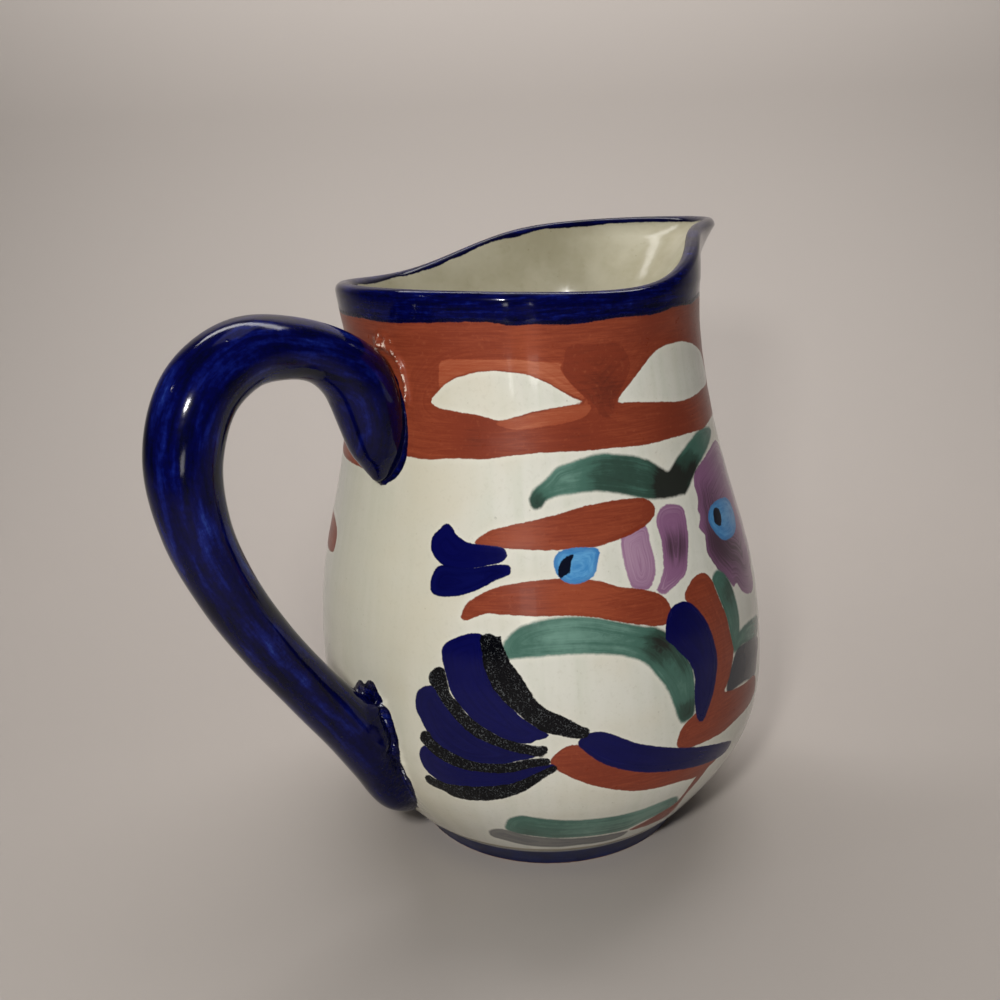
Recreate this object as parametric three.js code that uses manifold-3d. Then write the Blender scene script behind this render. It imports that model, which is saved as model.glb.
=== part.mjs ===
// Glazed earthenware pitcher, thrown on a wheel and finished by hand.
// Round belly on a low flared foot, drawn in to an upright collar. The collar's
// lip is pulled out and up into a pouring spout on +X, and a rolled handle
// loops down the opposite side, on -X. Body, foot and handle are one fired piece.
// Millimetres, +Z up. The origin is the centre of the flat underside.
import * as THREE from 'three';
import { mergeVertices } from 'three/addons/utils/BufferGeometryUtils.js';
import Module from 'manifold-3d';

// ---- foot and body -------------------------------------------------------
const FOOT_R = 44.4;          // underside radius
const FOOT_TOP_R = 50.9;      // the foot flares out to this
const FOOT_H = 10.4;          // and meets the body at this height
const FOOT_EDGE = 1.0;        // softened lower edge
const WALL = 5.2;             // wall thickness
const FLOOR_Z = 9.5;          // top of the floor inside
const WELL = [                // how the floor turns up into the wall: radius, height above the floor
  [50.6, 9.0], [45.0, 4.6], [38.0, 1.6], [29.0, 0.3], [0, 0],
];
const BACK_LEAN = 0.0384;     // the wall leans towards the handle, mm per mm of height

// outer profile, height and radius at each turn of the curve
const PROFILE = [
  [FOOT_H, 51.6],             // edge over the foot
  [22, 60.6],                 // swelling out
  [35, 68.0],
  [62, 71.8],                 // widest part of the belly
  [90, 68.8],
  [115, 62.2],                // shoulder drawn in
  [138, 56.8],
  [158, 54.6],                // narrowest part of the collar
  [177, 56.2],                // lip
];

// ---- lip and spout -------------------------------------------------------
const LIP_R = 54.1;           // mean outer radius of the lip
const LIP_SHIFT = 1.8;        // the lip's circle sits back towards the handle
const LIP_BEAD = 0.4;         // slight roll under the lip
const LIP_T = 4.8;            // lip thickness, rounded over
const RIM_Z = 177.0;          // lip height at the sides
const RIM_BACK = 3.2;         // the lip lifts by this at the handle
const SPOUT_RISE = 18.4;      // lift of the lip at the spout
const RISE_W = 72.7 * Math.PI / 180;   // half-width of that lift
const SPOUT_REACH = 32.0;     // how far the spout is pulled out
const SPOUT_W = 25.9 * Math.PI / 180;  // half-width of the pulled lip
const THROAT_Z = 146;         // the spout's channel starts here

// ---- handle --------------------------------------------------------------
// centre line from the lower root to the upper one: distance from the axis,
// height, and half-thickness of the roll
const HANDLE = [
  [60.8, 21.5, 1.2],          // tail smoothed onto the belly
  [67.0, 31.2, 5.6],
  [73.4, 43.0, 8.0],
  [80.3, 55.2, 8.5],          // leaves the belly
  [93.3, 73.0, 7.8],
  [105.7, 91.2, 7.65],        // thinnest
  [115.6, 109.2, 8.0],
  [122.2, 127.5, 8.7],
  [123.3, 145.5, 9.6],        // widest reach
  [117.0, 160.5, 9.8],
  [105.0, 168.0, 9.2],        // top of the loop
  [91.5, 168.0, 8.2],
  [80.0, 164.4, 8.2],
  [71.0, 157.0, 9.6],         // lands on the collar
  [66.8, 146.5, 9.5],
  [64.9, 135.5, 7.4],
  [64.8, 126.4, 1.2],         // pressed-down tip
];

// ---- fineness ------------------------------------------------------------
const AROUND = 60;            // facets around the body
const CROWD = 0.3;            // facets are closer together towards the spout
const ROLL_AROUND = 14;       // facets around the handle
const ROLL_ALONG = 40;        // and along it

// ---- small tools ---------------------------------------------------------
// natural cubic through (x, y) knots
function spline(xs, ys) {
  const n = xs.length, m = new Array(n).fill(0), c = new Array(n).fill(0), d = new Array(n).fill(0);
  for (let i = 1; i < n - 1; i++) {
    const a = xs[i] - xs[i - 1], b = xs[i + 1] - xs[i];
    const w = 2 * (a + b) - a * c[i - 1];
    c[i] = b / w;
    d[i] = (6 * ((ys[i + 1] - ys[i]) / b - (ys[i] - ys[i - 1]) / a) - a * d[i - 1]) / w;
  }
  for (let i = n - 2; i > 0; i--) m[i] = d[i] - c[i] * m[i + 1];
  return x => {
    let i = 0;
    while (i < n - 2 && x > xs[i + 1]) i++;
    const h = xs[i + 1] - xs[i], A = (xs[i + 1] - x) / h, B = (x - xs[i]) / h;
    return A * ys[i] + B * ys[i + 1] + ((A ** 3 - A) * m[i] + (B ** 3 - B) * m[i + 1]) * h * h / 6;
  };
}
const clamp = (x, a, b) => Math.min(b, Math.max(a, x));
const smooth = x => { x = clamp(x, 0, 1); return x * x * (3 - 2 * x); };
const bell = (a, w, p) => Math.exp(-(Math.abs(a / w) ** p));

const bodyR = spline(PROFILE.map(p => p[0]), PROFILE.map(p => p[1]));
const rimZ = a => RIM_Z - RIM_BACK * Math.cos(a) + SPOUT_RISE * bell(a, RISE_W, 3.58);

// outer radius at angle a and height z; the lip's pull fades out down the collar
function outerR(a, z) {
  const top = rimZ(a) - LIP_T / 2, t = clamp((z - THROAT_Z) / (top - THROAT_Z), 0, 1);
  const base = bodyR(Math.min(z, 177));
  const round = (LIP_R - LIP_SHIFT * Math.cos(a) - bodyR(177)) * smooth(t);
  const pull = SPOUT_REACH * bell(a, SPOUT_W, 2) * t ** 1.9;
  return base + round + pull + LIP_BEAD * bell(z - (top - 4), 6, 2);
}
// the wall keeps its thickness square to its own slope, thinning a little to the lip
function innerR(a, z) {
  const slope = (outerR(a, z + 0.5) - outerR(a, z - 0.5));
  const thick = WALL + (LIP_T - WALL) * smooth((z - THROAT_Z) / (rimZ(a) - THROAT_Z));
  return outerR(a, z) - thick * Math.min(Math.hypot(1, slope), 1.35);
}

// ---- rings of the body, from the underside out, up, over the lip and down inside
const rings = [];
const ring = f => rings.push(f);
const UP = [0.03, 0.08, 0.14, 0.20, 0.27, 0.35, 0.43, 0.51, 0.59, 0.67, 0.74, 0.80, 0.855, 0.905, 0.95];
const up = (a, s) => FOOT_H + (rimZ(a) - LIP_T / 2 - FOOT_H) * s;
ring(() => [0, 0]);
ring(() => [FOOT_R - FOOT_EDGE, 0]);
ring(() => [FOOT_R, FOOT_EDGE]);
ring(() => [FOOT_TOP_R, FOOT_H - 0.3]);
ring(a => [outerR(a, FOOT_H), FOOT_H + 0.2]);
for (const s of UP) ring(a => [outerR(a, up(a, s)), up(a, s)]);
for (const g of [0, 45, 90, 135, 180]) {               // rounded lip
  ring(a => {
    const k = g * Math.PI / 180, top = rimZ(a) - LIP_T / 2;
    const o = outerR(a, top), i = innerR(a, top);
    return [(o + i) / 2 + (o - i) / 2 * Math.cos(k), top + LIP_T / 2 * Math.sin(k)];
  });
}
const DOWN = [0.93, 0.86, 0.78, 0.69, 0.58, 0.46, 0.34, 0.23, 0.15, 0.09];
for (const s of DOWN) {
  ring(a => {
    const z = FLOOR_Z + (rimZ(a) - LIP_T / 2 - FLOOR_Z) * s;
    return [innerR(a, z), z];
  });
}
for (const [r, h] of WELL) ring(() => [r, FLOOR_Z + h]);

// a turned blank with one row of vertices for each ring, then every vertex is
// carried to where the hand-shaping left it
function turned(list, around) {
  const blank = new THREE.LatheGeometry(list.map((f, i) => new THREE.Vector2(1, i)), around);
  const pos = blank.attributes.position, n = list.length;
  for (let i = 0; i <= around; i++) {
    const u = -Math.PI + 2 * Math.PI * (i % around) / around;
    const a = u - CROWD * Math.sin(u);
    for (let j = 0; j < n; j++) {
      const [r, z] = list[j](a);
      pos.setXYZ(i * n + j, r * Math.cos(a) - BACK_LEAN * z, r * Math.sin(a), z);
    }
  }
  return blank;
}

// the handle: a roll with pointed ends, bent along its centre line
function roll() {
  const line = new THREE.CatmullRomCurve3(HANDLE.map(h => new THREE.Vector3(-h[0], 0, h[1])), false, 'centripetal');
  const at = HANDLE.map((h, i) => i / (HANDLE.length - 1));
  const thick = spline(at, HANDLE.map(h => h[2]));
  const blank = new THREE.LatheGeometry(Array.from({ length: ROLL_ALONG + 1 }, (_, j) => new THREE.Vector2(1, j)), ROLL_AROUND);
  const pos = blank.attributes.position, n = ROLL_ALONG + 1;
  for (let j = 0; j < n; j++) {
    const t = j / ROLL_ALONG, c = line.getPoint(t), d = line.getTangent(t);
    const side = new THREE.Vector3(0, 1, 0), out = new THREE.Vector3().crossVectors(d, side);
    const r = j === 0 || j === ROLL_ALONG ? 0 : Math.max(thick(t), 0.8);
    for (let i = 0; i <= ROLL_AROUND; i++) {
      const k = 2 * Math.PI * (i % ROLL_AROUND) / ROLL_AROUND;
      const p = c.clone().addScaledVector(out, r * Math.cos(k)).addScaledVector(side, r * Math.sin(k));
      pos.setXYZ(i * n + j, p.x, p.y, p.z);
    }
  }
  return blank;
}

// ---- joining -------------------------------------------------------------
const wasm = await Module();
wasm.setup();
function solid(geometry) {
  geometry.deleteAttribute('normal');
  geometry.deleteAttribute('uv');
  const g = mergeVertices(geometry, 1e-4), ix = g.index.array, keep = [];
  for (let i = 0; i < ix.length; i += 3) {
    const [a, b, c] = [ix[i], ix[i + 1], ix[i + 2]];
    if (a !== b && b !== c && c !== a) keep.push(a, b, c);
  }
  const make = tri => new wasm.Manifold(new wasm.Mesh({
    numProp: 3, vertProperties: new Float32Array(g.attributes.position.array), triVerts: new Uint32Array(tri),
  }));
  const s = make(keep);
  if (s.volume() > 0) return s;
  for (let i = 0; i < keep.length; i += 3) [keep[i + 1], keep[i + 2]] = [keep[i + 2], keep[i + 1]];
  return make(keep);
}
function geometryOf(s) {
  const m = s.getMesh(), g = new THREE.BufferGeometry();
  g.setAttribute('position', new THREE.BufferAttribute(new Float32Array(m.vertProperties), 3));
  g.setIndex(new THREE.BufferAttribute(new Uint32Array(m.triVerts), 1));
  g.computeVertexNormals();
  return g;
}

const shell = solid(turned(rings, AROUND));
// the handle's roots end half-way through the wall
const midR = (a, z) => outerR(a, z) - WALL / 2;
const core = [() => [0, 14]];
for (const z of [14, 24, 40, 60, 80, 100, 120, 140, 155, 168]) core.push(a => [midR(a, z), z]);
core.push(() => [0, 168]);
const handle = solid(roll()).subtract(solid(turned(core, AROUND)));
const pitcher = new THREE.Mesh(geometryOf(shell.add(handle)),
  new THREE.MeshStandardMaterial({ color: 0xd9d6c4, roughness: 0.25, metalness: 0 }));
pitcher.name = 'pitcher';

const group = new THREE.Group();
group.add(pitcher);
export default group;
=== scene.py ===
import math
import bpy
import numpy as np
from mathutils import Matrix, Vector, kdtree


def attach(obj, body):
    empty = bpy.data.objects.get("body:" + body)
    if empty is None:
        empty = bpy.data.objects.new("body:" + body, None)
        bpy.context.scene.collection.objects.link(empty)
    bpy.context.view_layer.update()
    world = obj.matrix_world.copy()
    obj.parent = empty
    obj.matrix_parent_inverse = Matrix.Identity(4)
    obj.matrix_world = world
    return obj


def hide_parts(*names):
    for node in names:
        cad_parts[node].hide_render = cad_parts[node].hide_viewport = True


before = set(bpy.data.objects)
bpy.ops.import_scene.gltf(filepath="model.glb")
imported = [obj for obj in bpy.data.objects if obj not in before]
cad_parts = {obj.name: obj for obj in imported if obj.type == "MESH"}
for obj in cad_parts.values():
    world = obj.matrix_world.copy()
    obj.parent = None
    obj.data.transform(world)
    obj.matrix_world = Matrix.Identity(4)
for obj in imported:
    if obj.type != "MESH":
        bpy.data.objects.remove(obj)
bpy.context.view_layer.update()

MM = 0.001

# =========================================================================
# form: the same measures as the solid, millimetres
# =========================================================================
FOOT_R, FOOT_TOP_R, FOOT_H = 44.4, 50.9, 10.4
WALL, FLOOR_Z, BACK_LEAN = 5.2, 9.5, 0.0384
PROFILE = [(10.4, 51.6), (22, 60.6), (35, 68.0), (62, 71.8), (90, 68.8), (115, 62.2), (138, 56.8), (158, 54.6), (177, 56.2)]
LIP_R, LIP_SHIFT, LIP_BEAD, LIP_T, RIM_Z, RIM_BACK = 54.1, 1.8, 0.4, 4.8, 177.0, 3.2
SPOUT_RISE, RISE_W, SPOUT_REACH, SPOUT_W, THROAT_Z = 18.4, math.radians(72.7), 32.0, math.radians(25.9), 146.0
HANDLE = [(61.0, 22.4, 2.6), (67.2, 30.6, 6.7), (73.4, 43.0, 8.0), (80.3, 55.2, 8.5), (93.3, 73.0, 7.8),
          (105.7, 91.2, 7.65), (115.6, 109.2, 8.0), (122.2, 127.5, 8.7), (123.3, 145.5, 9.6), (117.0, 160.5, 9.8),
          (105.0, 168.0, 9.2), (91.5, 168.0, 8.2), (80.0, 164.4, 8.2), (71.0, 157.0, 9.6), (66.8, 146.5, 9.5),
          (64.9, 135.5, 7.4), (64.8, 126.4, 1.2)]


def natural(xs, ys):
    """natural cubic through the knots, as a function of an array"""
    xs, ys = np.asarray(xs, float), np.asarray(ys, float)
    n = len(xs)
    A, b = np.zeros((n, n)), np.zeros(n)
    A[0, 0] = A[-1, -1] = 1
    for i in range(1, n - 1):
        h0, h1 = xs[i] - xs[i - 1], xs[i + 1] - xs[i]
        A[i, i - 1:i + 2] = h0, 2 * (h0 + h1), h1
        b[i] = 6 * ((ys[i + 1] - ys[i]) / h1 - (ys[i] - ys[i - 1]) / h0)
    m = np.linalg.solve(A, b)

    def f(x):
        x = np.asarray(x, float)
        i = np.clip(np.searchsorted(xs, x, side="left") - 1, 0, n - 2)
        h = xs[i + 1] - xs[i]
        p, q = (xs[i + 1] - x) / h, (x - xs[i]) / h
        return p * ys[i] + q * ys[i + 1] + ((p ** 3 - p) * m[i] + (q ** 3 - q) * m[i + 1]) * h * h / 6
    return f


def smooth(x):
    x = np.clip(x, 0, 1)
    return x * x * (3 - 2 * x)


def bell(a, w, p=2):
    return np.exp(-np.abs(a / w) ** p)


def wrap(a):
    return (np.asarray(a) + np.pi) % (2 * np.pi) - np.pi


body_r = natural([p[0] for p in PROFILE], [p[1] for p in PROFILE])


def rim_z(a):
    return RIM_Z - RIM_BACK * np.cos(a) + SPOUT_RISE * bell(wrap(a), RISE_W, 3.58)


def outer_r(a, z):
    a = wrap(a)
    top = rim_z(a) - LIP_T / 2
    t = np.clip((z - THROAT_Z) / (top - THROAT_Z), 0, 1)
    rounded = (LIP_R - LIP_SHIFT * np.cos(a) - body_r(177)) * smooth(t)
    return body_r(np.minimum(z, 177)) + rounded + SPOUT_REACH * bell(a, SPOUT_W) * t ** 1.9 + LIP_BEAD * bell(z - (top - 4), 6)


def inner_r(a, z):
    slope = outer_r(a, z + .5) - outer_r(a, z - .5)
    thick = WALL + (LIP_T - WALL) * smooth((z - THROAT_Z) / (rim_z(a) - THROAT_Z))
    return outer_r(a, z) - thick * np.minimum(np.hypot(1, slope), 1.35)


# smooth value noise, the same each run
_rng = np.random.RandomState(7)
_lattice = _rng.rand(64, 64, 64)


def noise3(p, seed=0.0):
    p = np.asarray(p, float) + seed * 17.31 + 400.0
    i = np.floor(p).astype(int)
    f = p - i
    f = f * f * (3 - 2 * f)
    out = 0
    for dx in (0, 1):
        for dy in (0, 1):
            for dz in (0, 1):
                w = (f[..., 0] if dx else 1 - f[..., 0]) * (f[..., 1] if dy else 1 - f[..., 1]) * (f[..., 2] if dz else 1 - f[..., 2])
                out = out + w * _lattice[(i[..., 0] + dx) % 64, (i[..., 1] + dy) % 64, (i[..., 2] + dz) % 64]
    return out * 2 - 1


# ------------------------------------------------------------------ columns
def column_angles():
    """crowded near the handle, where the clay is worked, and even elsewhere"""
    out, a = [], 0.0
    while a < 360:
        away = abs(a - 180)
        out.append(a)
        plain_side = a < 140 or a > 308
        a += 0.3 if 5.0 < away < 11.0 else (0.5 if away < 17 else (0.8 if away < 24 else (1.6 if plain_side else 1.12)))
    k = 360.0 / a
    return np.radians(np.array(out) * k)


ANG = column_angles()
NCOL = len(ANG)
Z0 = FOOT_H + 0.9


def row_heights():
    out, z = [], Z0
    while z < 174.6:
        out.append(z)
        z += 0.75 if (38 < z < 70 or 148 < z < 168) else (0.95 if 18 < z < 170 and not 70 < z < 120 else 1.5)
    out.append(174.6)
    return out


def uneven(a, z):
    """faint hand unevenness of the thrown wall, always inwards"""
    p = np.stack([np.cos(a) * 1.6, np.sin(a) * 1.6, z / 42.0], -1)
    broad = 0.14 * (noise3(p, 1) - 1)
    turning = 0.035 * np.sin(z / 1.55 + 0.8 * np.sin(a) + 2 * noise3(p * 0.7, 2)) * smooth((z - 20) / 20)
    crease = -0.42 * bell(np.degrees(wrap(a + math.radians(134.6))), 2.6) * smooth((z - 146) / 14) * smooth((181 - z) / 8)
    swell = 0.10 * bell(np.degrees(wrap(a + math.radians(139.5))), 2.4) * smooth((z - 146) / 14)
    fade = smooth((z - 12) / 8)
    return (broad + turning + crease + swell - 0.05) * fade


rings = []  # each ring: radius and height for every column, mm


def ring(r, z):
    rings.append((np.broadcast_to(np.asarray(r, float), (NCOL,)).copy(), np.broadcast_to(np.asarray(z, float), (NCOL,)).copy()))


top = rim_z(ANG) - LIP_T / 2
for r in (12, 24, 34, 40):
    ring(r, 0.0)
for r, z in ((42.9, 0.0), (43.7, 0.06), (44.1, 0.25), (44.35, 0.6), (44.5, 1.1), (45.8, 3.2), (47.3, 5.4), (48.8, 7.6), (50.0, 9.2), (50.55, 9.85)):
    ring(r, z)
for r, z in ((50.75, 10.15), (51.15, 10.3), (51.65, 10.5)):
    ring(r, z)
first_outer = len(rings)
for z in row_heights():
    s = (z - Z0) / (174.6 - Z0)
    zz = Z0 + (top - Z0) * s
    ring(outer_r(ANG, zz) + uneven(ANG, zz), zz)
LIP_STEPS = 11
wob = 0.16 * noise3(np.stack([np.cos(ANG) * 3, np.sin(ANG) * 3, ANG * 0], -1), 5)
for k in np.linspace(0, math.pi, LIP_STEPS)[1:]:
    o, i = outer_r(ANG, top) + uneven(ANG, top), inner_r(ANG, top)
    ring((o + i) / 2 + (o - i) / 2 * math.cos(k), top + (LIP_T / 2 + np.minimum(wob, 0)) * math.sin(k))
last_lip = len(rings)
for s in np.concatenate([1 - np.linspace(0.022, 0.12, 6), 0.88 - np.linspace(0.02, 0.82, 29)]):
    zz = FLOOR_Z + 9 + (top - FLOOR_Z - 9) * s
    p = np.stack([np.cos(ANG) * 1.5, np.sin(ANG) * 1.5, zz / 40], -1)
    ring(inner_r(ANG, zz) - 0.12 * np.abs(noise3(p, 3)) - 0.05 * (1 + np.sin(zz / 2.1)), zz)
for q in np.linspace(0, 1, 11)[1:]:
    # floor turns up into the wall
    idx = (1 - q) * 4
    rr = np.interp(idx, [0, 1, 2, 3, 4], [14.0, 29.0, 38.0, 45.0, 50.4])
    hh = np.interp(idx, [0, 1, 2, 3, 4], [0.0, 0.3, 1.6, 4.6, 9.0])
    ring(rr, FLOOR_Z + hh)


def shell_mesh():
    n = len(rings)
    co = np.zeros((n * NCOL + 2, 3))
    for j, (r, z) in enumerate(rings):
        block = slice(j * NCOL, (j + 1) * NCOL)
        co[block, 0] = r * np.cos(ANG) - BACK_LEAN * z
        co[block, 1] = r * np.sin(ANG)
        co[block, 2] = z
    co[-2] = (0, 0, 0)
    co[-1] = (-BACK_LEAN * FLOOR_Z, 0, FLOOR_Z)
    faces = []
    for j in range(n - 1):
        for i in range(NCOL):
            k = (i + 1) % NCOL
            faces.append((j * NCOL + i, j * NCOL + k, (j + 1) * NCOL + k, (j + 1) * NCOL + i))
    for i in range(NCOL):
        k = (i + 1) % NCOL
        faces.append((n * NCOL, k, i))
        faces.append((n * NCOL + 1, (n - 1) * NCOL + i, (n - 1) * NCOL + k))
    me = bpy.data.meshes.new("shell")
    me.from_pydata([tuple(c * MM) for c in co], [], faces)
    return me


# ------------------------------------------------------------------- handle
def along_handle(t):
    """centre line, a centripetal Catmull-Rom, at t in 0..1"""
    pts = [np.array([-h[0], 0.0, h[1]]) for h in HANDLE]
    n = len(pts)
    x = (n - 1) * t
    i = min(int(x), n - 2)
    w = x - i
    p1, p2 = pts[i], pts[i + 1]
    p0 = pts[i - 1] if i > 0 else 2 * pts[0] - pts[1]
    p3 = pts[i + 2] if i + 2 < n else 2 * pts[-1] - pts[-2]
    d0, d1, d2 = (max(np.linalg.norm(b - a), 1e-6) ** 0.5 for a, b in ((p0, p1), (p1, p2), (p2, p3)))
    t1 = ((p1 - p0) / d0 - (p2 - p0) / (d0 + d1) + (p2 - p1) / d1) * d1
    t2 = ((p2 - p1) / d1 - (p3 - p1) / (d1 + d2) + (p3 - p2) / d2) * d1
    return p1 + t1 * w + (-3 * p1 + 3 * p2 - 2 * t1 - t2) * w ** 2 + (2 * p1 - 2 * p2 + t1 + t2) * w ** 3


handle_thick = natural(np.arange(len(HANDLE)) / (len(HANDLE) - 1), [h[2] for h in HANDLE])
ROLL_LONG, ROLL_ROUND = 210, 60
HT = np.linspace(0.004, 0.996, ROLL_LONG)
HC = np.array([along_handle(t) for t in HT])
HD = np.gradient(HC, axis=0)
HD /= np.linalg.norm(HD, axis=1)[:, None]
HR = np.maximum(handle_thick(HT), 0.8)
HS = np.concatenate([[0], np.cumsum(np.linalg.norm(np.diff(HC, axis=0), axis=1))])
HOUT = np.cross(HD, (0, 1, 0))


def polar(co):
    """angle, height and radius about the leaning axis"""
    x = co[:, 0] + BACK_LEAN * co[:, 2]
    return np.arctan2(co[:, 1], x), co[:, 2], np.hypot(x, co[:, 1])


def handle_mesh():
    k = np.linspace(0, 2 * np.pi, ROLL_ROUND, endpoint=False)
    co = np.zeros((ROLL_LONG, ROLL_ROUND, 3))
    for j in range(ROLL_LONG):
        p = np.stack([np.cos(k) * 1.3, np.sin(k) * 1.3, np.full_like(k, HS[j] / 26)], -1)
        r = HR[j] * (1 - 0.012 * (1 + noise3(p, 9)))
        co[j] = HC[j] + (r * np.cos(k))[:, None] * HOUT[j] + (r * np.sin(k))[:, None] * np.array([0, 1, 0])
    flat = co.reshape(-1, 3)
    flat = np.vstack([flat, HC[0] - HD[0] * 0.4, HC[-1] + HD[-1] * 0.4])
    # the roots end inside the wall
    a, z, r = polar(flat)
    mid = outer_r(a, np.clip(z, 12, 175)) - WALL * 0.55
    push = np.maximum(r, mid) / np.maximum(r, 1e-6)
    ax = -BACK_LEAN * flat[:, 2]
    flat[:, 0] = ax + (flat[:, 0] - ax) * push
    flat[:, 1] *= push
    faces = []
    for j in range(ROLL_LONG - 1):
        for i in range(ROLL_ROUND):
            m = (i + 1) % ROLL_ROUND
            faces.append((j * ROLL_ROUND + i, (j + 1) * ROLL_ROUND + i, (j + 1) * ROLL_ROUND + m, j * ROLL_ROUND + m))
    e = ROLL_LONG * ROLL_ROUND
    for i in range(ROLL_ROUND):
        m = (i + 1) % ROLL_ROUND
        faces.append((e, i, m))
        faces.append((e + 1, (ROLL_LONG - 1) * ROLL_ROUND + m, (ROLL_LONG - 1) * ROLL_ROUND + i))
    me = bpy.data.meshes.new("roll")
    me.from_pydata([tuple(c * MM) for c in flat], [], faces)
    return me


def object_of(name, me):
    ob = bpy.data.objects.new(name, me)
    bpy.context.scene.collection.objects.link(ob)
    return ob


def outward(me):
    """turn every face outwards"""
    import bmesh
    bm = bmesh.new()
    bm.from_mesh(me)
    bmesh.ops.recalc_face_normals(bm, faces=bm.faces)
    bm.to_mesh(me)
    bm.free()


glaze = bpy.data.materials.new("painted_glaze")
marker = bpy.data.materials.new("roll_marker")

pot = object_of("pitcher_glazed", shell_mesh())
roll = object_of("roll", handle_mesh())
for ob, mats in ((pot, (glaze, marker)), (roll, (glaze, marker))):
    outward(ob.data)
    for m in mats:
        ob.data.materials.append(m)
roll.data.polygons.foreach_set("material_index", np.ones(len(roll.data.polygons), dtype=np.int32))

join = pot.modifiers.new("join", "BOOLEAN")
join.operation = "UNION"
join.object = roll
join.solver = "MANIFOLD"
bpy.context.view_layer.update()
dg = bpy.context.evaluated_depsgraph_get()
joined = bpy.data.meshes.new_from_object(pot.evaluated_get(dg))
if len(joined.polygons) < 1000:
    join.solver = "EXACT"
    bpy.context.view_layer.update()
    joined = bpy.data.meshes.new_from_object(pot.evaluated_get(bpy.context.evaluated_depsgraph_get()))
pot.modifiers.clear()
pot.data = joined
bpy.data.objects.remove(roll)
me = pot.data
print("joined", len(me.vertices), len(me.polygons))


# ------------------------------------------------- worked clay at the roots
def coords():
    a = np.zeros(len(me.vertices) * 3)
    me.vertices.foreach_get("co", a)
    return a.reshape(-1, 3) / MM


def normals():
    a = np.zeros(len(me.vertices) * 3)
    me.vertex_normals.foreach_get("vector", a)
    return a.reshape(-1, 3)


def put(co):
    me.vertices.foreach_set("co", (co * MM).ravel())
    me.update()


co = coords()
nv = len(co)
mat_ix = np.zeros(len(me.polygons), dtype=np.int32)
me.polygons.foreach_get("material_index", mat_ix)
loop_v = np.zeros(len(me.loops), dtype=np.int32)
me.loops.foreach_get("vertex_index", loop_v)
loop_total = np.zeros(len(me.polygons), dtype=np.int32)
me.polygons.foreach_get("loop_total", loop_total)
loop_mat = np.repeat(mat_ix, loop_total)
on_roll = np.zeros(nv, bool)
on_roll[loop_v[loop_mat == 1]] = True
on_shell = np.zeros(nv, bool)
on_shell[loop_v[loop_mat == 0]] = True
seam = np.nonzero(on_roll & on_shell)[0]
print("seam verts", len(seam))
tree = kdtree.KDTree(len(seam))
for n_, i_ in enumerate(seam):
    tree.insert(co[i_], n_)
tree.balance()
ds = np.full(nv, 60.0)
nearby = np.nonzero((co[:, 0] < -38) & (np.abs(co[:, 1]) < 34))[0]
for i_ in nearby:
    ds[i_] = tree.find(co[i_])[2]
TH, ZZ, RR = polar(co)
on_outer = ~on_roll & (RR > outer_r(TH, np.clip(ZZ, 12, 195)) - 1.6) & (ZZ > FOOT_H + 0.05)

edges = np.zeros(len(me.edges) * 2, dtype=np.int32)
me.edges.foreach_get("vertices", edges)
edges = edges.reshape(-1, 2)


def relax(co, weight, times):
    deg = np.bincount(edges.ravel(), minlength=nv).astype(float)
    for _ in range(times):
        acc = np.zeros_like(co)
        np.add.at(acc, edges[:, 0], co[edges[:, 1]])
        np.add.at(acc, edges[:, 1], co[edges[:, 0]])
        co = co + (acc / deg[:, None] - co) * weight[:, None]
    return co


low = ZZ < 80
# worked clay: outlines and crests as (angle, height); the far side mirrors the near one
SLIP_LOW = [(-188.3, 62.0), (-186.6, 64.0), (-185.1, 66.4), (-183.5, 67.5), (-182.1, 67.0), (-180.4, 68.7), (-179.0, 69.1), (-178.1, 68.2),
            (-177.3, 66.9), (-176.2, 65.4), (-175.4, 64.2), (-174.5, 62.7), (-173.5, 61.5), (-173.0, 59.6), (-172.6, 57.4), (-172.1, 55.2),
            (-171.7, 52.9), (-171.9, 51.0), (-171.8, 48.9), (-171.9, 46.4), (-171.5, 43.8), (-171.4, 41.2), (-171.0, 38.5), (-171.3, 35.4),
            (-171.9, 32.5), (-173.2, 29.0), (-174.9, 26.2), (-178.2, 23.6), (-181.5, 23.4), (-185.0, 25.6), (-187.0, 29.0), (-188.2, 33.0),
            (-188.7, 38.0), (-188.3, 43.0), (-188.1, 48.0), (-188.4, 53.0), (-188.5, 57.0), (-189.0, 60.0)]
SLIP_HIGH = [(-176.4, 156.6), (-174.3, 153.0), (-172.7, 149.0), (-171.8, 144.8), (-171.2, 140.2), (-171.4, 136.9), (-171.8, 134.0), (-173.1, 131.0), (-175.5, 128.3),
             (-178.8, 126.6), (-180.9, 125.7), (-183.5, 126.8), (-186.3, 129.6), (-188.0, 133.0), (-188.6, 138.0), (-188.3, 143.0), (-187.4, 148.0), (-185.8, 152.6), (-183.8, 156.4)]
CREST_A = [(-182.8, 66.1), (-181.1, 65.6), (-179.2, 65.3), (-177.3, 63.8), (-176.2, 62.4), (-175.4, 60.4), (-174.7, 57.8), (-174.5, 56.0),
           (-173.8, 52.5), (-173.0, 48.9), (-172.4, 46.2), (-172.1, 43.2), (-172.0, 39.3), (-172.2, 35.6), (-172.8, 31.4)]
CREST_B = [(-185.1, 63.8), (-183.2, 62.1), (-181.8, 60.6), (-180.5, 58.6), (-179.1, 56.9), (-178.1, 54.9), (-177.1, 51.5)]
CREST_U = [(-181.5, 165.6), (-179.5, 164.6), (-176.5, 163.3), (-174.9, 162.2), (-173.5, 160.2), (-172.7, 158.9), (-172.2, 156.6), (-171.7, 154.2),
           (-171.5, 152.2), (-171.4, 150.1)]
DASH_U = [(-179.3, 167.6), (-176.3, 166.0)]


def wall_mm(deg_):
    """mm around the wall, measured from the handle's middle"""
    return ((deg_ + 360) % 360 - 180) * 1.17


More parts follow.
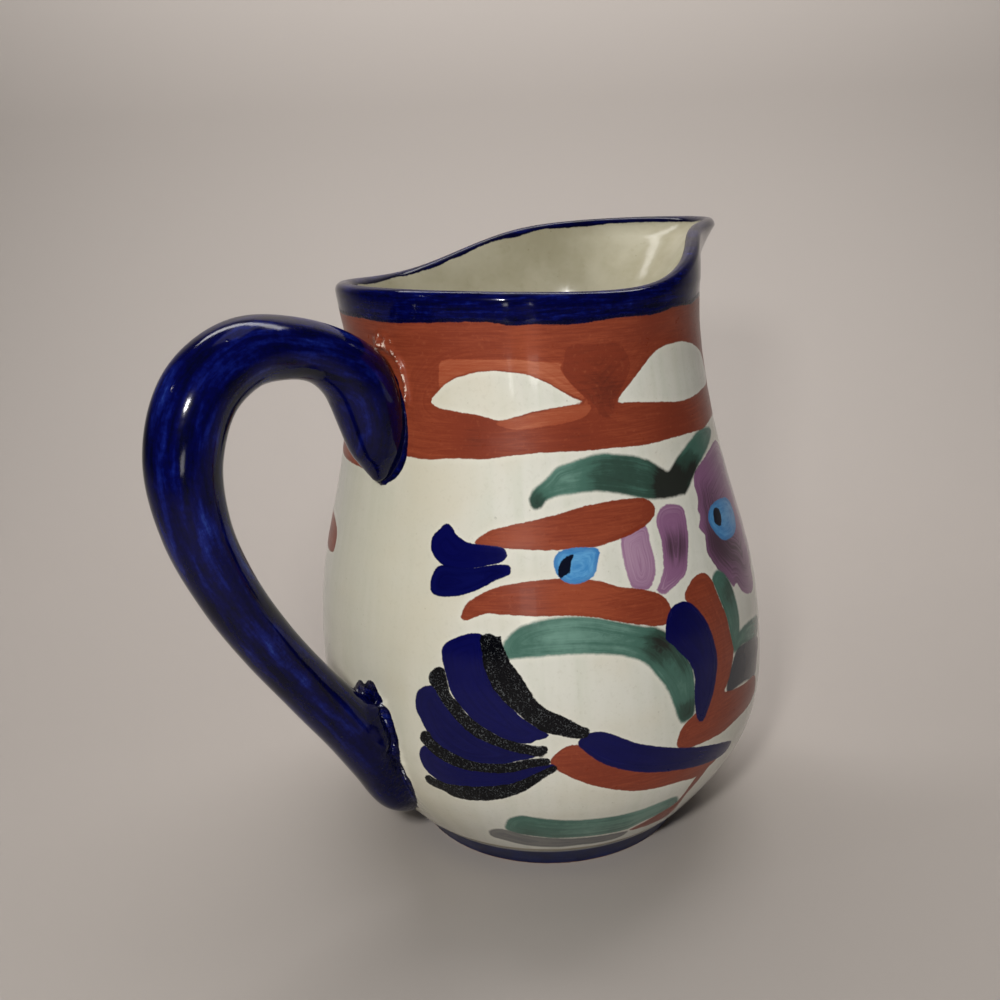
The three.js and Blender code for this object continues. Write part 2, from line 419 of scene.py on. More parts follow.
def line_distance(idx, line, flip=False):
    """mm along the wall from the vertices to an open line"""
    q = np.stack([wall_mm(np.degrees(TH[idx])), ZZ[idx]], -1)
    pts = np.array([(wall_mm(a), z) for a, z in line])
    if flip:
        pts[:, 0] *= -1
    out = np.full(len(idx), 60.0)
    for (ax, ay), (bx, by) in zip(pts[:-1], pts[1:]):
        ex, ey = bx - ax, by - ay
        t = np.clip(((q[:, 0] - ax) * ex + (q[:, 1] - ay) * ey) / (ex * ex + ey * ey), 0, 1)
        out = np.minimum(out, np.hypot(q[:, 0] - ax - ex * t, q[:, 1] - ay - ey * t))
    return out


# a wide hollow fillet at the lower root, a tight crease at the upper one
soft = np.where(low, 1 - smooth((ds - 1.6) / 3.4), 1 - smooth((ds - 0.3) / 1.2))
soft *= np.where(low, smooth((ZZ - 24) / 10), 1.0)
co = relax(co, np.where(low, soft * 0.7, 0), 22)
co = relax(co, np.where(low, 0, soft * 0.5), 3)
co = relax(co, np.where(low, 0, (1 - smooth((ds - 0.8) / 2.6)) * smooth((152 - ZZ) / 8) * 0.6), 10)      # the pressed tip runs out smoothly
put(co)
nm = normals()
TH, ZZ, RR = polar(co)
ragged = noise3(co / 3.3, 11)
fine = noise3(co / 1.25, 12)
worked_idx = np.nonzero(ds < 14)[0]
lift = np.zeros(nv)
out_of_crotch = smooth((RR[worked_idx] - 40) / 4) * (RR[worked_idx] < outer_r(TH[worked_idx], np.clip(ZZ[worked_idx], 12, 175)) + 6)
out_of_crotch = out_of_crotch * (RR[worked_idx] > outer_r(TH[worked_idx], np.clip(ZZ[worked_idx], 12, 175)) - 2.6)      # not on the inside wall
# distance to the slip crests, kept to place the painted highlight flecks along them
crest = np.full(nv, 20.0)
for flip in (False, True):
    for line, high, wide in ((CREST_A, 1.6, 0.95), (CREST_B, 1.0, 0.8), (CREST_U, 1.5, 0.8), (DASH_U, 0.7, 0.65)):
        d_line = line_distance(worked_idx, line, flip)
        broken = 0.85 + 0.4 * ragged[worked_idx] + 0.2 * fine[worked_idx]
        if line is CREST_A:
            broken = broken * smooth((ZZ[worked_idx] - 27) / 12) * (0.45 + 0.55 * smooth((ZZ[worked_idx] - 36) / 14)) * (1 - 0.75 * smooth((ZZ[worked_idx] - 62.5) / 3))
        if line in (CREST_U, DASH_U):
            broken = broken * ~on_roll[worked_idx]
        lift[worked_idx] += high * np.maximum(broken, 0.15) * np.exp(-(d_line / wide) ** 1.6)
        bare = on_roll[worked_idx] | (out_of_crotch < 0.5) | (broken < 0.35)
        if line is CREST_A:
            bare = bare | (np.abs(ZZ[worked_idx] - 51) < 6.5)
        if line is CREST_B:
            bare = bare | (ZZ[worked_idx] < 54.5)
        crest[worked_idx] = np.minimum(crest[worked_idx], d_line + 20.0 * bare)
lift[worked_idx] *= out_of_crotch
lift += np.where(low & (ds < 5), 0.22 * fine * (1 - smooth((ds - 2) / 3)) * smooth((ZZ - 28) / 8), 0)
lift += np.where(~low & ~on_roll, 0.20 * np.exp(-ds / 1.0), 0)
co = co + nm * lift[:, None]
co = relax(co, (lift > 0.02) * 0.08, 1)
put(co)

# everything carries the one glaze material
me.polygons.foreach_set("material_index", np.zeros(len(me.polygons), dtype=np.int32))
me.materials.clear()
me.materials.append(glaze)
me.polygons.foreach_set("use_smooth", np.ones(len(me.polygons), dtype=bool))
bpy.data.materials.remove(marker)

# =========================================================================
# painting: brush strokes as closed outlines, (angle round the wall in degrees,
# height in mm). Each becomes a distance to its edge, in mm, kept at the vertices
# =========================================================================
MM_PER_DEG = 1.17
lens1 = [(-163.2, 150.8), (-160.4, 153.8), (-156.8, 156.4), (-151.2, 158.4), (-145.4, 159.2), (-139.6, 158.8), (-134.8, 158),
    (-130, 156), (-126, 153.6), (-122, 151.2), (-118.8, 149.6), (-124.2, 149.2), (-130, 148.6), (-135.6, 147.6), (-140.4, 146.4),
    (-143.8, 146), (-148.2, 147.2), (-154.8, 148), (-160.4, 148.8), (-162.4, 149.6)]
lens2 = [(-109.2, 148.8), (-107.2, 151.2), (-104.2, 153.6), (-100, 156.8), (-95.6, 159.8), (-90.8, 161.6), (-84.4, 162), (-76,
    161.2), (-66.8, 158.4), (-59.4, 154.4), (-57, 147), (-68, 146), (-77.6, 145.4), (-85.2, 145.6), (-93.6, 146.8), (-102.4, 148)]
strip = [(-158.6, 161.6), (-149.6, 162), (-139.6, 162), (-132.6, 161.2), (-124.8, 160.4), (-125.6, 159.2), (-123.6, 156), (-120.4,
    152.4), (-118.4, 150.2), (-126, 154), (-130, 156.4), (-134.8, 158), (-139.6, 159.2), (-145.4, 159.4), (-151.2, 158.8),
    (-156.8, 156.8), (-160, 154.4), (-160, 158.6)]
dark_tri = [(-124.4, 160.4), (-122.4, 164.8), (-116.4, 164.6), (-108.4, 164.4), (-105.2, 162), (-104, 157.6), (-106.8, 153.2),
    (-110, 148.8), (-111.6, 145.2), (-114.8, 146), (-116, 148.8), (-118.8, 151.2), (-122.4, 154.8), (-124.4, 157.8)]
lowstrip = [(-143.6, 145.8), (-136.2, 147), (-129.2, 148.4), (-122, 149.2), (-117.6, 148.8), (-118.6, 146.8), (-122.4, 145.2),
    (-130.2, 144.4), (-137.8, 143.6), (-142, 144.4)]
green1 = [(-136, 125.2), (-135.6, 123.6), (-134.6, 122.8), (-133.2, 123.2), (-131.6, 125), (-128.4, 126), (-123.6, 126.4),
    (-118.8, 126.4), (-113.6, 125.4), (-109.2, 124), (-104, 122.2), (-97.8, 121.2), (-91.6, 120.8), (-90.2, 120.6), (-88, 122.2),
    (-81.6, 126.6), (-72, 130.4), (-66.8, 132.6), (-66.2, 134), (-71.6, 135.6), (-77.4, 135.6), (-83, 134), (-90, 131), (-94.8,
    128), (-96.8, 128.8), (-98.8, 130.2), (-101.4, 132.2), (-103.2, 132.8), (-106, 134), (-110.8, 135), (-115.6, 135.8), (-120.8,
    135.2), (-124.8, 134.2), (-128.4, 133.2), (-130.4, 131.2), (-132.4, 129.6), (-134.6, 128), (-135.6, 126.4)]
rust1 = [(-150, 113.6), (-149, 115.2), (-146, 117.2), (-143.4, 118), (-136.4, 119.6), (-129.6, 121), (-122.2, 122.6), (-114.8,
    123.2), (-109.4, 123), (-105.2, 122.4), (-102.8, 120.8), (-102.2, 118.6), (-103.6, 116.8), (-106.4, 115.2), (-111, 113.8),
    (-115.6, 112.8), (-120, 112), (-125.6, 112), (-133.6, 112.2), (-139, 112.6), (-142.8, 112.8), (-145.8, 113.2)]
cob1 = [(-161.8, 112.2), (-161.4, 114.4), (-160, 116), (-158, 118), (-156.4, 117.2), (-155, 115.2), (-152.2, 113.6), (-149.2,
    113.2), (-144, 112.8), (-142.4, 111.8), (-142.4, 110.4), (-144, 109.2), (-147, 108.4), (-150.8, 107.4), (-155, 107), (-157.8,
    107.4), (-160, 108.8), (-161.2, 110.4)]
cob2 = [(-161.2, 101.2), (-161, 103.8), (-159.6, 106.4), (-157.6, 107), (-151.6, 106.8), (-145.8, 108), (-142.8, 108.2), (-141.4,
    107.6), (-142, 106), (-144.8, 104.8), (-147.6, 103), (-150.8, 101.2), (-155.4, 99.6), (-158.8, 99.2), (-160.8, 99.8)]
sky1 = [(-131, 108.4), (-130.6, 110.2), (-129.2, 111.6), (-126.8, 112), (-123.4, 112), (-120.4, 111.6), (-119.6, 110.4), (-120.4,
    108), (-121.2, 105.2), (-123.2, 103.6), (-126, 103), (-128, 103.2), (-129.6, 104.6), (-130.6, 106.2)]
pup1 = [(-130, 105), (-130, 106.8), (-129.2, 108.8), (-128, 110), (-126, 110.4), (-126.4, 109.6), (-127.2, 108), (-127, 106.4),
    (-128.4, 105.6), (-129.6, 104.6)]
rust2 = [(-153.2, 93.6), (-153, 95.2), (-152, 97.6), (-149.2, 100), (-144.8, 102.4), (-139.2, 103.8), (-132.8, 104.4), (-126.4,
    104.4), (-122, 103.4), (-118.8, 102.2), (-115.6, 100.6), (-111, 99.2), (-106.4, 97.2), (-103.8, 94.4), (-103, 90.8), (-104.8,
    88.4), (-107.2, 88.4), (-111.2, 89.6), (-116.8, 91.6), (-122, 93.6), (-128.2, 94.8), (-134.4, 95), (-140.8, 95.4), (-146,
    95.6), (-148, 95.4), (-150.4, 94.2), (-152, 93.4)]
lav1 = [(-113.6, 111.8), (-113, 113.8), (-110.8, 114.4), (-106.6, 115.6), (-105.6, 114), (-105.6, 110.4), (-105.2, 106.4),
    (-105.6, 102.8), (-106.6, 100.6), (-108.2, 98.8), (-111, 99.2), (-112.6, 100.4), (-113.2, 103.8), (-113.6, 108)]
lav2 = [(-102.4, 115.8), (-100.8, 118.4), (-98, 119.2), (-93.8, 118.4), (-92.2, 116.4), (-92.4, 113.6), (-93.2, 108.8), (-94.6,
    104.4), (-96.4, 100.6), (-99.4, 98.4), (-102.4, 97.2), (-103.6, 96.4), (-106, 97.6), (-104.8, 99.6), (-103.2, 102.4), (-102.4,
    106), (-102, 110.2), (-102.4, 113.4)]
flower = [(-84.8, 124), (-83.2, 125.6), (-78.4, 127.2), (-71.8, 129), (-63.6, 129.8), (-57, 126), (-53, 121), (-49, 117), (-51,
    111), (-47, 106), (-51, 100), (-54, 94), (-60, 90), (-62, 85), (-66, 83.2), (-73, 86), (-76.4, 90.4), (-78.6, 90.2), (-80.8,
    93.4), (-84, 97.2), (-86, 100.8), (-87, 103.6), (-86.2, 108), (-88, 110.4), (-85.6, 113.6), (-86.8, 114.4), (-85.2, 118.2),
    (-85.6, 121.6)]
sky2 = [(-82.6, 112.2), (-80.2, 114.2), (-75.2, 114.8), (-68.8, 113.6), (-65.2, 110.4), (-65.2, 106), (-68.4, 103.6), (-72.8,
    103), (-78, 104), (-81.2, 107.2), (-82.8, 110.4)]
pup2 = [(-80.2, 111.2), (-78.8, 113.2), (-76.4, 112.8), (-75.6, 111.2), (-76.6, 108.4), (-78.4, 108.4), (-80.2, 110)]
green2 = [(-143.6, 87), (-142.4, 89.2), (-141, 91), (-138.2, 92.8), (-133.8, 94), (-128.4, 94.4), (-122.8, 93.6), (-117.2, 91.6),
    (-111.4, 89.2), (-107.6, 87.8), (-104.8, 85.4), (-102.4, 82), (-100, 76.8), (-98.6, 72), (-98.4, 64.4), (-99, 59.2), (-100.8,
    58), (-102.8, 58), (-104, 61.2), (-106, 68.8), (-109, 74.8), (-111.2, 78.4), (-114.6, 81.2), (-119.2, 83), (-125.6, 84.2),
    (-132.2, 84.4), (-138, 84), (-142.8, 83.6), (-143.2, 85.4)]
cob3 = [(-105.2, 86), (-104.4, 89.2), (-102.6, 92), (-98.8, 92.6), (-95.6, 90), (-92.8, 84.8), (-91, 78.6), (-90.4, 72.4), (-91.6,
    66), (-93.6, 60.8), (-95.8, 56.4), (-97, 56.4), (-98, 58.8), (-98.4, 64.4), (-98, 70.4), (-99.2, 75.2), (-101.8, 79.2),
    (-103.6, 82), (-105.2, 83.8)]
rust3 = [(-90.8, 98.4), (-88.2, 96), (-86.8, 90.8), (-84.8, 84), (-83.6, 76.4), (-83, 71.8), (-84.8, 66.8), (-86.8, 63.2), (-87.6,
    61), (-78.2, 58.6), (-68.8, 56.4), (-68, 50.2), (-74.4, 48.8), (-80.8, 48.8), (-87.2, 48), (-94, 48.2), (-99.2, 48.6),
    (-102.4, 49.2), (-104, 51.2), (-103.6, 54), (-102, 56.8), (-99, 58.8), (-98, 59.2), (-97, 57.6), (-96.2, 57.2), (-94.4, 61.2),
    (-92.4, 66.4), (-91.4, 72.8), (-92, 78.8), (-93.6, 85), (-96.4, 90.2), (-98.4, 93.4), (-97.4, 95.6), (-94.4, 98)]
green3 = [(-87.6, 95.2), (-86.4, 96.8), (-84.6, 97.2), (-82.4, 95.6), (-80, 91.8), (-78.8, 86.4), (-78.4, 80.6), (-79.2, 76),
    (-81.6, 72.6), (-83.2, 72.6), (-83.6, 76.4), (-84.8, 84), (-86.4, 90)]
green4 = [(-83, 72.4), (-79.6, 76), (-72.6, 76.4), (-62.4, 73.2), (-65.6, 68), (-77.2, 71.6), (-82.2, 71.2)]
slate1 = [(-86.8, 61.2), (-86.4, 64.4), (-83.6, 68.6), (-80.8, 71.6), (-74, 70.8), (-64, 66.8), (-66.4, 61.2), (-68.8, 56.8),
    (-76.6, 59.2), (-82.4, 60), (-85.6, 59.8)]
F1 = [(-157.8, 83.8), (-157.2, 86), (-154.4, 88), (-151, 89.6), (-148.8, 89.6), (-148.2, 88.8), (-148, 86), (-148, 82), (-147.4,
    78), (-145.4, 74), (-142.8, 70), (-140.4, 66.4), (-137.2, 63.6), (-134.8, 61.2), (-136, 60.4), (-137.6, 60), (-138.4, 59.2),
    (-141.2, 59), (-143.8, 59.8), (-147, 62), (-150.8, 64.8), (-153.2, 68), (-155.6, 72), (-156.8, 76.8), (-157.6, 80.8)]
B1 = [(-148.4, 88.4), (-147.6, 89.4), (-146.4, 89.6), (-144.8, 88.6), (-144.4, 89.2), (-144.4, 87.2), (-143.6, 85.4), (-142.6,
    82.4), (-140.8, 79.2), (-138.8, 75), (-137, 70.8), (-134, 67.8), (-130.8, 65.8), (-127.8, 63.2), (-126, 62), (-126.6, 60.4),
    (-128, 60.2), (-130, 60.8), (-132, 61.6), (-135.2, 62.8), (-138.4, 65.6), (-141.2, 68.8), (-144.4, 72.8), (-146.4, 76.8),
    (-147.6, 81.4), (-148, 85.4)]
B2 = [(-161.2, 76), (-160, 78), (-158.4, 78.8), (-157.8, 78), (-157.4, 75.2), (-156.8, 71.8), (-154.8, 69.2), (-153.2, 66.6),
    (-150.8, 64), (-148, 61.8), (-145.4, 60), (-142.8, 58.8), (-139.6, 58), (-137.6, 57.4), (-135.6, 57.4), (-135.6, 56), (-137.2,
    55.4), (-139.8, 56), (-143.4, 57), (-147.2, 58.6), (-150.8, 60.4), (-154, 63.6), (-156.4, 66.8), (-158, 69.4), (-159.6, 72.6),
    (-160.8, 74.2)]
F2 = [(-165.2, 68.4), (-164.4, 70.8), (-162.8, 72.4), (-160.8, 73.2), (-159, 72.4), (-158, 69.4), (-156.4, 66.8), (-154, 63.6),
    (-150.8, 60.4), (-147.2, 58.6), (-143.4, 57), (-139.8, 56), (-137.6, 55.2), (-138.8, 54.4), (-141.6, 53.6), (-144.2, 52.4),
    (-147.6, 51.6), (-151.6, 51.2), (-155.6, 52), (-158.8, 54), (-161.8, 57.2), (-163.6, 61.2), (-165.2, 65.4)]
B3 = [(-164.4, 57.2), (-164, 58), (-162.8, 58.4), (-162, 56.8), (-160, 54.8), (-157.2, 53.2), (-154.4, 52), (-151.6, 51.2),
    (-147.6, 51.2), (-144.4, 51.6), (-141, 52.8), (-137.6, 53.6), (-135.2, 53.6), (-135.4, 52.4), (-137.8, 52), (-141.2, 50.8),
    (-144.8, 49.6), (-149.4, 49.2), (-154, 49.2), (-158, 50.2), (-161, 52), (-163.2, 54), (-164.4, 55.6)]
F3 = [(-165.6, 50), (-164.8, 52.8), (-163.2, 54), (-161, 52), (-158, 50.2), (-154, 49.2), (-149.4, 49.2), (-144.8, 49.6), (-141.2,
    50.8), (-137.8, 52), (-135.6, 52), (-133.8, 51.6), (-134, 50.4), (-136.8, 48.8), (-140.2, 46.8), (-144.2, 44.8), (-148.8,
    43.2), (-153.6, 42.6), (-159.2, 42), (-162.8, 43.6), (-165, 46.4)]
B4 = [(-165.2, 42.2), (-164.2, 43.2), (-163, 42.6), (-160.4, 41.6), (-156.8, 41.8), (-152.4, 42.4), (-148.2, 43.4), (-144.2,
    44.6), (-140.8, 46.4), (-138, 48.4), (-135.6, 50), (-133.6, 51.2), (-134, 50), (-136.4, 48), (-139.2, 45.2), (-141.6, 42.8),
    (-145.2, 40.6), (-149.2, 38.8), (-153.6, 37.8), (-158, 37.6), (-161, 39.2), (-163.6, 40), (-165, 40.8)]
rust4 = [(-134.4, 53.2), (-133.4, 55.2), (-131.2, 57.2), (-128.4, 57.8), (-125.4, 55.4), (-122, 52.4), (-118.2, 50), (-113.2,
    47.6), (-106.8, 45.6), (-100.8, 44), (-95.8, 42.6), (-88, 38.4), (-92.2, 36.4), (-95.6, 35.2), (-101.8, 36.8), (-108.4, 37.6),
    (-114, 38.8), (-119, 40.8), (-123.8, 43.2), (-128.4, 46.2), (-132, 49.2), (-133.8, 51.2)]
cob4 = [(-128, 58), (-127.4, 59.6), (-125.6, 60.8), (-123, 60.8), (-120.4, 59.4), (-115.8, 56), (-110.4, 53), (-103.6, 49.8),
    (-97.2, 47.2), (-90.8, 44.8), (-83.2, 41.6), (-82.2, 39.6), (-84.4, 38), (-90, 38.8), (-97.2, 40.6), (-104.4, 42.8), (-110.8,
    44.8), (-116.4, 47.2), (-120.4, 49.6), (-123.8, 52.4), (-126.4, 55.6)]
rust5 = [(-90, 39), (-93.6, 32), (-95.6, 26), (-94.4, 16.4), (-100.8, 15.6), (-107.2, 16), (-111.2, 16.8), (-107.2, 19.2),
    (-103.2, 21.6), (-97.8, 24.4), (-96.8, 28.4), (-95.2, 34.8)]
green5 = [(-147.4, 26), (-145.6, 30.4), (-142.4, 32.4), (-138.8, 31.6), (-134, 30.4), (-129.2, 29.6), (-124.2, 29.2), (-117.6,
    28.8), (-110.8, 29), (-105, 29.6), (-100, 29.2), (-97, 24.4), (-97.8, 21.8), (-103.2, 21.6), (-108, 20.6), (-112, 18.4),
    (-116.8, 18.4), (-122.8, 18.8), (-128.6, 19.2), (-134.4, 19.6), (-139.6, 20.8), (-144.4, 22), (-147.2, 23.8)]
slate2 = [(-153.6, 19.6), (-152.4, 22.4), (-149.4, 24), (-147.6, 23.8), (-144.4, 22), (-139.8, 20.4), (-134.4, 19.2), (-128.6,
    18.4), (-122.6, 17.8), (-116.4, 17.4), (-111, 16.4), (-113.2, 13.2), (-120, 12.8), (-126.4, 13.2), (-132.8, 12.8), (-139,
    13.2), (-145, 14.4), (-150, 16.4), (-153.2, 17.6)]
left_rust = [(157, 101), (156.4, 106.4), (150, 109), (138, 108), (128, 105), (124, 101), (132, 98.4), (145, 98.4), (153, 99)]


def mirrored(pts, about, lift=0.0, scale=1.0, zmid=0.0):
    """the same stroke again, turned over about an angle"""
    return [(2 * about - a, zmid + (z - zmid) * scale + lift) for a, z in pts]


def moved(pts, by, lift=0.0):
    return [(a + by, z + lift) for a, z in pts]


def rounded(pts, steps=6):
    """closed smooth outline through the points"""
    p = np.asarray(pts, float)
    n = len(p)
    out = []
    for i in range(n):
        p0, p1, p2, p3 = p[i - 1], p[i], p[(i + 1) % n], p[(i + 2) % n]
        for s in range(steps):
            t = s / steps
            out.append(0.5 * (2 * p1 + (p2 - p0) * t + (2 * p0 - 5 * p1 + 4 * p2 - p3) * t * t + (3 * p1 - p0 - 3 * p2 + p3) * t ** 3))
    return np.array(out)


def signed_distance(q, outline):
    """distance of the points q to a closed outline, negative inside"""
    a, b = outline, np.roll(outline, -1, axis=0)
    d = np.full(len(q), 1e9)
    inside = np.zeros(len(q), bool)
    for (ax, ay), (bx, by) in zip(a, b):
        ex, ey = bx - ax, by - ay
        wx, wy = q[:, 0] - ax, q[:, 1] - ay
        t = np.clip((wx * ex + wy * ey) / max(ex * ex + ey * ey, 1e-9), 0, 1)
        d = np.minimum(d, (wx - ex * t) ** 2 + (wy - ey * t) ** 2)
        if ay != by:
            hit = ((ay > q[:, 1]) != (by > q[:, 1])) & (q[:, 0] < ex * (q[:, 1] - ay) / ey + ax)
            inside ^= hit
    d = np.sqrt(d)
    return np.where(inside, -d, d)


co = coords()
TH, ZZ, RR = polar(co)
deg = np.degrees(TH)
paintable = on_outer | (~on_roll & (RR > outer_r(TH, np.clip(ZZ, 12, 195)) - 2.2) & (ZZ > FOOT_H - 1))
SKIN = np.nonzero(paintable)[0]


def layer(strokes, shrink=0.0):
    """one distance for a set of strokes: the nearest outline wins"""
    d = np.full(nv, 40.0)
    for st in strokes:
        line = rounded(st) * (MM_PER_DEG, 1.0)
        lo, hi = line.min(0) - 8, line.max(0) + 8
        for turn in (-360, 0, 360):
            u = (deg[SKIN] + turn) * MM_PER_DEG
            near = (u > lo[0]) & (u < hi[0]) & (ZZ[SKIN] > lo[1]) & (ZZ[SKIN] < hi[1])
            if not near.any():
                continue
            idx = SKIN[near]
            s = signed_distance(np.stack([u[near], ZZ[idx]], -1), line)
            d[idx] = np.minimum(d[idx], s + shrink)
    return d


def spots(items):
    """soft spots of thicker or thinner colour, and for the purple partly painted shade: angle, height, reach, amount"""
    t = np.zeros(nv)
    for a, z, r, k in items:
        da = (deg - a + 180) % 360 - 180
        t += k * np.exp(-((da * MM_PER_DEG) ** 2 + (ZZ - z) ** 2) / (r * r))
    return t


def put_layer(name, values):
    at = me.attributes.new(name, "FLOAT", "POINT")
    at.data.foreach_set("value", np.asarray(values, dtype=np.float32))


BLUE_LOW = natural([-200.6, -189.9, -178.4, -168.5, -160.2, -152.7, -142.9, -137.5, -132.1, -125.2, -118.0, -110.3, -101.6, -91.1, -84.6, -75.9, -64.0],
                   [171.0, 171.7, 171.3, 171.5, 171.9, 172.1, 171.8, 171.0, 171.1, 170.7, 170.7, 171.2, 171.1, 171.1, 171.8, 171.5, 171.0])


def around(line, lo, hi, level):
    """a measured edge where it is seen, a gentle wave where it isn't"""
    out = level + 0.5 * np.sin(TH * 5 + 1) + 0.35 * np.sin(TH * 11 + 0.4)
    for turn in (0, -360):
        a = deg + turn
        k = smooth((a - lo) / 12) * smooth((hi - a) / 12)
        out = out * (1 - k) + line(np.clip(a, lo, hi)) * k
    return out


BAND_LOW = natural([-180, -170.9, -165.2, -156.5, -149.2, -140.9, -130.7, -120.3, -111.4, -102.4, -92.6, -81.1, -66.7],
                   [135.4, 135.0, 134.8, 135.8, 135.9, 136.8, 137.5, 137.2, 137.1, 136.5, 136.6, 136.2, 134.9])
blue_low = around(BLUE_LOW, -200, -64, 171.3)
band_low = around(BAND_LOW, -178, -66, 135.8)
far = np.degrees(TH) % 360
band_low = band_low - 7.6 * smooth((far - 128) / 14) * (1 - smooth((far - 178) / 4))      # it dips where it meets the handle from the far side

# the lens-shaped reserves in the rust band go on round the back
lenses = [lens1, lens2, mirrored(lens2, -56.2), moved(lens1, 160, -0.4), mirrored(lens1, 5, 0.4), moved(lens1, 274, 0.2)]

back = {
    "rust": [left_rust, moved(rust1, 196, -8), mirrored(rust2, -12, 4), moved(rust4, 196, 6), mirrored(rust3, -45, 4)],
    "green": [mirrored(green1, -38, -3), moved(green2, 190, 2), mirrored(green5, 8, 2)],
    "cob": [moved(F1, 204, 4), moved(F2, 204, 4), moved(F3, 204, 4), mirrored(cob4, -22, 8), mirrored(cob3, -42, 0)],
    "blk": [moved(B1, 204, 4), moved(B2, 204, 4), moved(B3, 204, 4)],
    "lav": [mirrored(lav2, -40, 6)],
}
d_band = np.where(paintable, np.maximum(ZZ - blue_low - 1.0, band_low - ZZ), 40.0)
d_lens = layer(lenses)
d_rust = np.maximum(d_band, -d_lens)
d_rust = np.minimum(d_rust, layer([rust1, rust2, rust3, rust4, rust5] + back["rust"]))
d_green = layer([green1, green2, green3, green4, green5] + back["green"])
d_slate = layer([slate1, slate2] + [mirrored(slate1, -50, 0)])
d_lav = layer([lav1, lav2, flower] + back["lav"])
d_sky = layer([sky1, sky2])
d_pup = layer([pup1, pup2])
d_blk = layer([B1, B2, B3, B4] + back["blk"])
d_cob = layer([cob1, cob3, cob4, F1, F3] + back["cob"][0::2])
d_cob2 = layer([cob2, F2] + back["cob"][1::2])
d_pass = layer([strip, lowstrip])         # thinner passes of the brush in the band
d_over = layer([dark_tri])                # where two passes lie over each other

# cobalt over the lip, down the handle and over the worked clay at its roots
lip_top = rim_z(TH) - LIP_T / 2
inside = (~on_roll & ~paintable & (ZZ > 9.0) & (RR < outer_r(TH, np.clip(ZZ, 12, 195)) - 2.2)).astype(float)
below_lip = lip_top - ZZ
lap = -0.7 + 0.8 * noise3(np.stack([np.cos(TH) * 9, np.sin(TH) * 9, TH * 0], -1), 21) + 0.25 * np.sin(TH * 3)
d_lipblue = np.where(inside > 0.5, below_lip - lap, blue_low - ZZ)
d_lipblue = np.where(~on_roll & (ZZ > 100), d_lipblue, 40.0)
d_root = np.full(nv, 40.0)
near_root = np.nonzero(paintable & (ds < 26))[0]
q = np.stack([wall_mm(deg[near_root]), ZZ[near_root]], -1)
for outline in (SLIP_LOW, SLIP_HIGH):
    shape_ = rounded([(wall_mm(a), z) for a, z in outline])
    d_root[near_root] = np.minimum(d_root[near_root], signed_distance(q, shape_))
d_root = np.minimum(d_root, np.where(paintable, ds - 0.35 - 0.25 * ragged, 40.0))
d_root = np.where(on_roll, -6.0, d_root)
d_thick = np.minimum(d_lipblue, d_root)   # thick glossy cobalt

across_roll = np.zeros(nv)
along_roll = np.zeros(nv)
idx = np.nonzero(on_roll | (ds < 6))[0]
ct = kdtree.KDTree(ROLL_LONG)
for j in range(ROLL_LONG):
    ct.insert(HC[j], j)
ct.balance()
for i_ in idx:
    j = ct.find(co[i_])[1]
    v = co[i_] - HC[j]
    along_roll[i_] = HS[j] + v @ HD[j]
    across_roll[i_] = math.atan2(v[1], v @ HOUT[j]) * HR[j]

tone_rust = spots([(-122, 140, 9, 0.35), (-150, 141, 7, .4), (-100, 118, 8, .25), (-140, 115, 8, -.25), (-125, 99, 12, -.25), (-107, 93, 7, .1),
                   (-112, 153, 5, .35), (-135, 166, 6, -.25), (-158, 164, 8, .1), (-90, 140, 9, .3), (-96, 168, 7, .2), (-125, 45, 8, .1)])
tone_green = spots([(-95, 123.5, 7.5, 1.9), (-84, 126, 5, .9), (-110, 129, 8, .55), (-118, 128, 6, .3), (-134, 124.5, 3, .7), (-125, 131, 6, -.2), (-107, 83, 5, .9),
                    (-101, 76, 4.5, .45), (-101, 61, 3.5, .7), (-130, 89, 9, -.35), (-118, 90, 8, -.1), (-81, 90, 5, .4), (-125, 23, 7, -.25),
                    (-142, 21, 4.5, .35), (-108, 26, 8, -.4)])
# the darker purple spots towards the flower's far side are partly painted shade where the wall turns away from the
# light
tone_lav = spots([(-98, 108, 6.5, .9), (-110, 108, 6.5, -.35), (-82, 118, 8, .5), (-82, 104, 8, .8), (-72, 95, 12, .7), (-72, 112, 12, .5)])
d_any = np.minimum.reduce([d_rust, d_green, d_cob, d_blk, d_lav, d_sky, d_slate, d_thick])
for name, values in (("d_rust", d_rust), ("d_green", d_green), ("d_slate", d_slate), ("d_lav", d_lav), ("d_sky", d_sky), ("d_pup", d_pup),
                     ("d_blk", d_blk), ("d_cob", d_cob), ("d_cob2", d_cob2), ("d_pass", d_pass), ("d_over", d_over), ("d_thick", d_thick), ("d_any", d_any),
                     ("t_rust", tone_rust), ("t_green", tone_green), ("t_lav", tone_lav), ("is_inside", inside),
                     ("s_along", along_roll), ("s_across", across_roll), ("is_roll", on_roll.astype(float)), ("wall_deg", np.abs(deg)),
                     ("wall_z", ZZ), ("d_seam", np.minimum(ds, 30)), ("d_crest", crest)):
    put_layer(name, values)

# =========================================================================
# glaze
# =========================================================================


def rgb(r, g, b):
    def lin(c):
        c /= 255
        return c / 12.92 if c <= 0.04045 else ((c + 0.055) / 1.055) ** 2.4
    return (lin(r), lin(g), lin(b), 1.0)


glaze.use_nodes = True
nt = glaze.node_tree
nt.nodes.clear()
L = nt.links.new


def node(kind, **props):
    n = nt.nodes.new(kind)
    for k, v in props.items():
        if k.startswith("in_"):
            n.inputs[k[3:]].default_value = v
        else:
            setattr(n, k, v)
    return n


def attr(name):
    return node("ShaderNodeAttribute", attribute_name=name).outputs["Fac"]


def math_(op, a, b=None, c=None, clamp=False):
    n = node("ShaderNodeMath", operation=op)
    n.use_clamp = clamp
    for i, v in enumerate((a, b, c)):
        if v is None:
            continue
        if isinstance(v, (int, float)):
            n.inputs[i].default_value = v
        else:
            L(v, n.inputs[i])
    return n.outputs[0]


